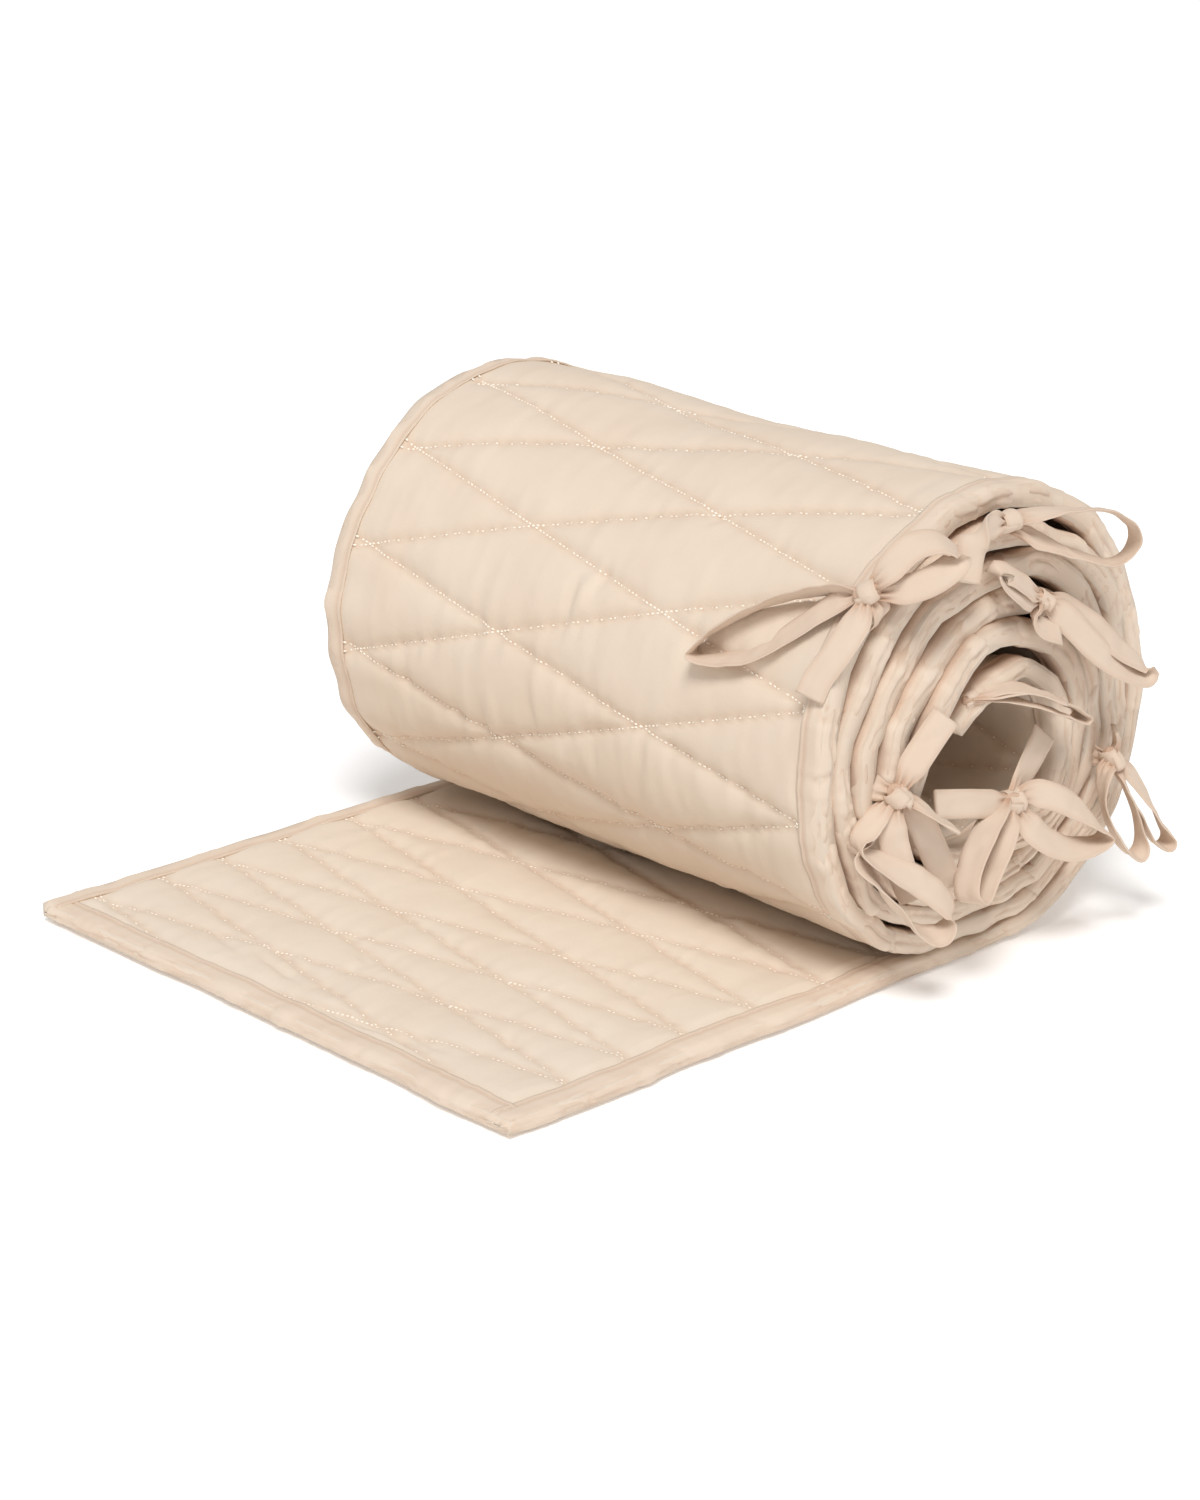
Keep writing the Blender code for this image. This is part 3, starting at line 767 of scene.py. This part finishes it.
# Each strip of ribbon: its tie, its points in mm from the roll's axis (x), the panel's middle (y) and the
# surface (z), the directions of its width from the first point to the last, and which ends are in the knot.
Strip = namedtuple("Strip", "tie points broad knotted")
STRIPS = (
    Strip("tie_1", ((-70, -150, 160), (-72, -155, 166), (-75, -151, 173)), ((-0.8, 0, -0.6),), "end"),
    Strip("tie_1",
        ((-75, -150, 173), (-78, -136, 172), (-84, -115, 165), (-91, -95, 154), (-98, -80, 141),
         (-99, -80, 136), (-96, -92, 137), (-93, -108, 143), (-87, -125, 156), (-80, -138, 167),
         (-75, -149, 172)),
        ((-0.7, -0.2, 0.6), (-0.75, -0.25, 0.35), (-0.8, -0.3, 0.0), (-0.7, -0.4, -0.5),
         (-0.55, -0.4, -0.6)), "both"),
    Strip("tie_1",
        ((-75, -151, 174), (-71, -157, 183), (-62, -161, 191), (-52, -165, 192), (-44, -168, 187),
         (-46, -169, 183), (-56, -167, 178), (-66, -162, 175), (-74, -153, 173)),
        ((0.2, 0.7, 0.6), (0.1, 0.6, 0.8), (0.3, 0.8, 0.5), (0.1, 0.5, 0.9), (0.1, 0.35, 0.93)), "both"),
    Strip("tie_1",
        ((-76, -151, 172), (-82, -152, 164), (-90, -149, 152), (-96, -145, 142), (-99, -143, 134)),
        ((0.3, -0.8, -0.2), (0.45, -0.85, -0.25)), "start"),
    Strip("tie_2", ((-4, -153, 182), (-4, -157, 185), (-4, -158, 189)), ((1, 0, 0),), "end"),
    Strip("tie_2",
        ((-4, -159, 189), (-14, -162, 191), (-25, -164, 191), (-31, -165, 187),
         (-33, -165, 181), (-35, -165, 172)),
        ((0.1, 0.3, 0.95), (0.2, 0, 0.9), (0.8, -0.4, 0.3), (0.8, -0.5, 0)), "start"),
    Strip("tie_2",
        ((-3, -159, 190), (14, -164, 191), (30, -168, 190), (44, -172, 187), (53, -175, 181),
         (57, -175, 173), (54, -173, 167), (46, -170, 165), (30, -165, 171), (13, -162, 179),
         (-1, -159, 186)),
        ((0.3, 0.7, 0.4), (0.5, 0.8, -0.2), (0.4, 0.9, -0.1), (0.5, 0.75, 0.1), (0.4, 0.5, 0.6)), "both"),
    Strip("tie_3", ((15, -154, 151), (16, -158, 152), (17, -160, 153)), ((1, 0, 0),), "end"),
    Strip("tie_3",
        ((17, -160, 154), (6, -163, 161), (-5, -164, 168), (-12, -163, 171), (-11, -165, 167),
         (-2, -165, 161), (8, -163, 156), (16, -160, 153)),
        ((0.4, 0.5, 0.7), (0.3, 0.7, 0.6), (0.5, 0.2, 0.8)), "both"),
    Strip("tie_3",
        ((18, -160, 153), (30, -165, 142), (42, -169, 129), (56, -172, 118), (68, -173, 112),
         (72, -171, 115), (60, -169, 124), (44, -166, 137), (30, -162, 147), (18, -160, 154)),
        ((0.62, -0.1, 0.75), (0.55, 0.1, 0.78), (0.3, 0.8, 0.4), (0.5, 0.2, 0.83), (0.6, 0.0, 0.8)), "both"),
    Strip("tie_3",
        ((16, -161, 152), (11, -163, 147), (14, -164, 143), (24, -165, 139)),
        ((0.7, 0.4, 0.2), (0.5, 0.6, 0.6), (0.4, 0.6, 0.7)), "start"),
    Strip("tie_4", ((-12, -154, 117), (-16, -156, 118), (-21, -157, 119)), ((0, 1, 0.2),), "end"),
    Strip("tie_4",
        ((-21, -157, 119), (-10, -161, 122), (4, -164, 119), (20, -167, 112), (34, -169, 104),
         (36, -169, 102), (33, -168, 100), (18, -166, 107), (2, -163, 114), (-11, -160, 118),
         (-21, -157, 118)),
        ((0.1, 0.95, 0.2), (0, 1, 0.1), (0.1, 1, 0), (0, 1, 0.15)), "both"),
    Strip("tie_4",
        ((-21, -157, 119), (-8, -162, 121), (6, -165, 119), (22, -168, 111)),
        ((0.1, 0.95, 0.3), (0, 1, 0.2)), "start"),
    Strip("tie_5", ((-72, -153, 93), (-70, -157, 92), (-66, -161, 91)), ((-0.2, 0, -1),), "end"),
    Strip("tie_5",
        ((-66, -161, 92), (-61, -163, 101), (-53, -164, 110), (-44, -165, 119)),
        ((0.5, -0.7, -0.5), (0.55, -0.65, -0.5)), "start"),
    Strip("tie_5",
        ((-65, -162, 90), (-60, -166, 87), (-54, -171, 81), (-48, -176, 75)),
        ((0.3, 0.6, 0.7), (0.6, 0.7, 0.0), (0.65, 0.7, -0.3)), "start"),
    Strip("tie_5",
        ((-67, -160, 90), (-78, -158, 81), (-86, -160, 73), (-76, -166, 65), (-65, -171, 57),
         (-55, -175, 48), (-50, -177, 40), (-55, -176, 33), (-63, -173, 35), (-72, -168, 46),
         (-81, -162, 60), (-86, -158, 70), (-76, -156, 80), (-67, -160, 89)),
        ((0.4, 0.5, 0.6), (0.4, 0.8, 0.3), (0.6, 0.1, 0.77), (0.5, 0.5, 0.5), (0.33, 0.94, -0.12),
         (0.5, 0.5, 0.5), (0.5, 0.5, 0.5)), "both"),
    Strip("tie_5",
        ((-67, -161, 89), (-71, -163, 78), (-68, -165, 62), (-61, -166, 47)),
        ((0.8, -0.5, 0.2), (0.85, -0.5, 0.2)), "start"),
    Strip("tie_5",
        ((-65, -161, 89), (-57, -164, 79), (-49, -166, 63), (-41, -167, 47)),
        ((0.7, -0.6, 0.4), (0.8, -0.5, 0.4)), "start"),
    Strip("tie_6", ((6, -155, 54), (3, -159, 62), (0, -162, 71)), ((1, 0, 0),), "end"),
    Strip("tie_6",
        ((0, -163, 72), (-12, -164, 74), (-28, -164, 78), (-46, -163, 82)),
        ((0.2, 0.4, 0.9), (0.1, 0.3, 0.95)), "start"),
    Strip("tie_6",
        ((0, -162, 73), (9, -160, 78), (19, -158, 85), (28, -156, 93)),
        ((0.5, 0.1, -0.5), (0.55, -0.3, -0.6)), "start"),
    Strip("tie_6",
        ((-1, -163, 72), (-14, -167, 71), (-28, -172, 65), (-38, -175, 55), (-41, -177, 46),
         (-36, -178, 42), (-29, -176, 48), (-16, -172, 59), (-5, -166, 68), (0, -163, 71)),
        ((0.45, -0.6, 0.4), (0.3, -0.85, 0.0), (0.18, -0.97, 0.19), (0.3, -0.85, 0.1),
         (0.5, -0.6, -0.2)), "both"),
    Strip("tie_6",
        ((1, -163, 73), (10, -167, 74), (22, -172, 69), (34, -174, 61), (44, -176, 52), (46, -176, 48),
         (40, -175, 46), (24, -174, 48), (9, -171, 57), (1, -164, 70)),
        ((0.3, 0.2, 0.9), (0.35, 0.4, 0.85), (0.26, 0.95, 0.1), (0.3, 0.4, 0.85), (0.5, 0.1, 0.85)), "both"),
    Strip("tie_7", ((63, -154, 74), (64, -158, 74), (65, -162, 74)), ((0, 0, 1),), "end"),
    Strip("tie_7",
        ((65, -162, 74), (58, -165, 70), (53, -168, 61), (54, -172, 49), (60, -175, 38), (66, -176, 34),
         (71, -175, 38), (71, -172, 49), (69, -167, 61), (66, -162, 72)),
        ((0.5, 0.5, 0.5), (0.5, 0.7, 0.1), (0.25, 0.95, 0.1), (0.5, 0.8, 0), (0.5, 0.7, 0)), "both"),
    Strip("tie_7",
        ((66, -162, 73), (73, -165, 67), (80, -169, 56), (86, -173, 43), (89, -175, 36), (86, -175, 33),
         (80, -173, 38), (75, -170, 49), (70, -165, 62), (66, -162, 72)),
        ((0.6, 0.4, 0.4), (0.5, 0.6, 0.4), (0.3, 0.94, 0.1), (0.4, 0.8, 0.2), (0.6, 0.5, 0)), "both"),
    Strip("tie_7", ((66, -161, 75), (69, -161, 80), (68, -160, 86)), ((0.6, 0.6, 0), (0.6, 0.7, 0)), "start"),
)

# Each knot: its centre in mm, the direction of the bow through it, and its size against the usual one
Knot = namedtuple("Knot", "tie centre axis size")
KNOTS = (
    Knot("tie_1", (-75, -150, 173), (0.5, -0.75, 0.4), 1.0),
    Knot("tie_2", (-4, -158, 189), (1, -0.15, 0.05), 1.0),
    Knot("tie_3", (17, -160, 153), (0.75, -0.15, -0.6), 0.9),
    Knot("tie_4", (-21, -157, 119), (1, 0, 0.3), 0.6),
    Knot("tie_5", (-66, -161, 90), (0.5, -0.3, -0.8), 1.0),
    Knot("tie_6", (0, -163, 72), (1, -0.1, -0.2), 1.0),
    Knot("tie_7", (65, -162, 74), (0.2, -0.2, -0.95), 0.9),
)


def tie_places(points):
    """Points in mm from the roll's axis, the panel's middle and the surface, in metres in the frame."""
    return np.array(points, float) * MM + np.array([ROLL_X, PANEL_Y, 0.0])


def smooth_line(points, step):
    """Evenly spaced points on a smooth curve through the given ones: a Catmull-Rom cubic on each stretch,
    read finely and then spaced out by length."""
    ends = np.vstack([2 * points[0] - points[1], points, 2 * points[-1] - points[-2]])
    u = np.linspace(0, 1, 25)[:-1, None]
    parts = [between(*ends[index : index + 4], u) for index in range(len(points) - 1)]
    fine = np.vstack([*parts, points[-1:]])
    length = np.concatenate([[0], np.cumsum(np.linalg.norm(np.diff(fine, axis=0), axis=1))])
    along = np.linspace(0, length[-1], max(4, round(length[-1] / step)) + 1)
    return np.stack([np.interp(along, length, fine[:, axis]) for axis in range(3)], -1), along


def ribbon(points, broad, knotted, seed, width=RIBBON_WIDTH):
    """A soft flat ribbon along a line: its section is a thin rounded strip that cups a little, folds
    lengthwise where it is gathered at the knot, and ripples. Points, faces, flat places and painted shade."""
    line, along = smooth_line(points, RIBBON_STEP)
    ahead = np.gradient(line, axis=0)
    ahead /= np.linalg.norm(ahead, axis=1, keepdims=True)
    given = np.array(broad, float)
    share = along / along[-1] * (len(given) - 1)
    across = np.stack([np.interp(share, np.arange(len(given)), given[:, axis]) for axis in range(3)], -1)
    across -= ahead * np.sum(across * ahead, axis=1, keepdims=True)
    across /= np.linalg.norm(across, axis=1, keepdims=True)
    face = np.cross(ahead, across)
    far = np.full(len(along), 1.0)
    if knotted in ("start", "both"):
        far = np.minimum(far, along / GATHER)
    if knotted in ("end", "both"):
        far = np.minimum(far, (along[-1] - along) / GATHER)
    loose = (far**2 * (3 - 2 * far))[:, None]
    u = np.linspace(-1, 1, 15)[None]
    half = width / 2 * (0.45 + 0.55 * loose)
    folds = 1.3 * np.cos(2.5 * math.pi * u + seed) * (1 - loose) * MM
    cup = 0.9 * rumple(along[:, None] / 0.028, 0.5, seed) * (1 - u**2) * MM
    ripple = 0.45 * rumple(along[:, None] / 0.006, u * 1.5, seed + 1) * loose * MM
    rise = folds + cup + ripple
    to_end = along[-1] - along[:, None]
    hem = 0.3 * MM * (np.clip((7 * MM - to_end) / (1.5 * MM), 0, 1) if knotted == "start" else 0)
    stitched = np.exp(-(((np.abs(u) - 0.8) / 0.07) ** 2))
    wall = RIBBON_THICKNESS / 2 * (1 - u**8) + 0.12 * MM + hem - 0.12 * MM * stitched
    # Painted shade: deeper where the ribbon is gathered into folds at the knot and along its stitched grooves
    shade = np.clip(0.45 * (1 - loose) + 0.35 * stitched, 0, 1)
    flat = line[:, None] + across[:, None] * (u * half)[..., None]
    sides = [flat + face[:, None] * (rise + sign * wall)[..., None] for sign in (1, -1)]
    rings = np.concatenate([sides[0], sides[1][:, ::-1]], axis=1)
    flat_u = np.concatenate([u * half, (u * half)[:, ::-1] + width], axis=1)
    places = np.stack([np.broadcast_to(along[:, None], flat_u.shape), flat_u], -1)
    shades = np.concatenate([shade, shade[:, ::-1]], axis=1).ravel()
    return rings.reshape(-1, 3), closed_tube(len(along), rings.shape[1]), places.reshape(-1, 2), shades


def knot_directions(axis):
    """Unit vectors along the bow's direction and two ways square to it."""
    axis = np.array(axis, float) / np.linalg.norm(axis)
    first = np.cross(axis, (0.0, 0.0, 1.0) if abs(axis[2]) < 0.8 else (1.0, 0.0, 0.0))
    first /= np.linalg.norm(first)
    return axis, first, np.cross(axis, first)


def knot_wrap(centre, axis, size, seed):
    """The ribbon drawn once round the knot: a band that circles the bow's direction, a little askew."""
    axis, first, second = knot_directions(axis)
    turned = np.radians(np.linspace(0, 400, 14))[:, None]
    radius = 4.3 * MM * size * (1 + 0.12 * np.cos(2 * turned + seed))
    points = centre + (first * np.cos(turned) + second * np.sin(turned)) * radius
    points = points + axis * (turned - 3.5) * 0.35 * MM
    broad = [axis + 0.25 * first, axis - 0.2 * second, axis + 0.2 * first]
    return ribbon(points, broad, "none", seed, WRAP_WIDTH * size)


def knot_core(centre, axis, size, seed):
    """The bundle inside the wrap: a ball of rings about the bow's direction, wrinkled lengthwise."""
    axis, first, second = knot_directions(axis)
    tilt = np.linspace(0.12, math.pi - 0.12, 15)[:, None]
    turned = np.linspace(0, 2 * math.pi, 24, endpoint=False)[None]
    wrinkle = 1 + 0.14 * np.cos(5 * turned + seed) + 0.08 * rumple(turned * 2, tilt * 2, seed)
    radius = 4.1 * MM * size * wrinkle * np.sin(tilt)
    rings = (
        centre
        - axis * (np.cos(tilt) * 6.0 * MM * size + 0 * turned)[..., None]
        + first * (radius * np.cos(turned))[..., None]
        + second * (radius * np.sin(turned))[..., None]
    )
    places = np.stack(np.broadcast_arrays(tilt * 5 * MM, turned * 4 * MM), -1)
    # The whole bundle takes painted shade, half way to the deeper colour, for the shade inside the knot
    return rings.reshape(-1, 3), closed_tube(15, 24), places.reshape(-1, 2), np.full(15 * 24, 0.5)


ribbon_cotton = cotton("ribbon_cotton_tape", "#dcc8b5", "#be9476", 0.7, 0.1)
for number, knot in enumerate(KNOTS):
    centre = tie_places(knot.centre)
    shapes = [shape(centre, knot.axis, knot.size, number) for shape in (knot_core, knot_wrap)]
    for index, strip in enumerate(STRIPS):
        if strip.tie == knot.tie:
            shapes.append(ribbon(tie_places(strip.points), strip.broad, strip.knotted, 100 + index * 3))
    points, parts, places, shades = zip(*shapes)
    starts = np.cumsum([0, *map(len, points)]).tolist()
    faces = [[corner + start for corner in face] for part, start in zip(parts, starts) for face in part]
    tie = add_piece(
        f"{knot.tie}_ribbon",
        np.concatenate(points),
        faces,
        ribbon_cotton,
        np.concatenate(places),
        np.concatenate(shades),
    )
    outwards(tie)
    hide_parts(knot.tie)

# ---------------------------------------------------------------- stage, light and camera
# A plain white surface under soft studio light: a bright room all round and one large softbox high on the
# viewer's side.

FLOOR = 6.0  # half the side of the surface, in metres
FLOOR_GLOW = 0.16  # lifts the white surface to pure white where no shadow falls
ROOM_LIGHT = 0.48
KEY_LIGHT = 2.1
KEY_SPREAD = 22  # degrees across, as a softbox looks from the part
KEY_FROM = Vector((-0.38, -0.38, 0.84))

floor_mesh = bpy.data.meshes.new("floor")
floor_corners = [(x * FLOOR, y * FLOOR, 0) for x, y in ((-1, -1), (1, -1), (1, 1), (-1, 1))]
floor_mesh.from_pydata(floor_corners, [], [(0, 1, 2, 3)])
floor = add_object("floor", floor_mesh)
floor_paint, _, floor_shader = node_material("white_studio_floor")
white = linear("#ffffff")
plug(
    floor_shader,
    {"Base Color": white, "Roughness": 0.9, "Emission Color": white, "Emission Strength": FLOOR_GLOW},
)
floor_mesh.materials.append(floor_paint)

room = bpy.data.worlds.new("studio")
room.use_nodes = True
plug(room.node_tree.nodes["Background"], {"Color": white, "Strength": ROOM_LIGHT})
bpy.context.scene.world = room

# The key is a wide softbox so far off that it lights the whole surface evenly
key_lamp = bpy.data.lights.new("key_softbox", "SUN")
key_lamp.energy = KEY_LIGHT
key_lamp.angle = math.radians(KEY_SPREAD)
key = add_object("key_softbox", key_lamp)
key.rotation_mode = "QUATERNION"
key.rotation_quaternion = KEY_FROM.to_track_quat("Z", "Y")

# The camera: a long lens on a 36 mm sensor, turned from +Y towards +X and looking down
LENS = 88.6
AZIMUTH, ELEVATION = math.radians(43.28), math.radians(19.54)
DISTANCE = 1.531
AIM = Vector((ROLL_X - 0.0946, PANEL_Y - 0.0205, 0.08))
camera_data = bpy.data.cameras.new("camera")
camera_data.lens = LENS
camera_data.clip_start = 0.01
camera = add_object("camera", camera_data)
level = math.cos(ELEVATION)
looking = Vector((math.sin(AZIMUTH) * level, math.cos(AZIMUTH) * level, -math.sin(ELEVATION)))
camera.location = AIM - looking * DISTANCE
camera.rotation_mode = "QUATERNION"
camera.rotation_quaternion = looking.to_track_quat("-Z", "Y")
bpy.context.scene.camera = camera
bpy.context.scene.view_settings.view_transform = "Standard"
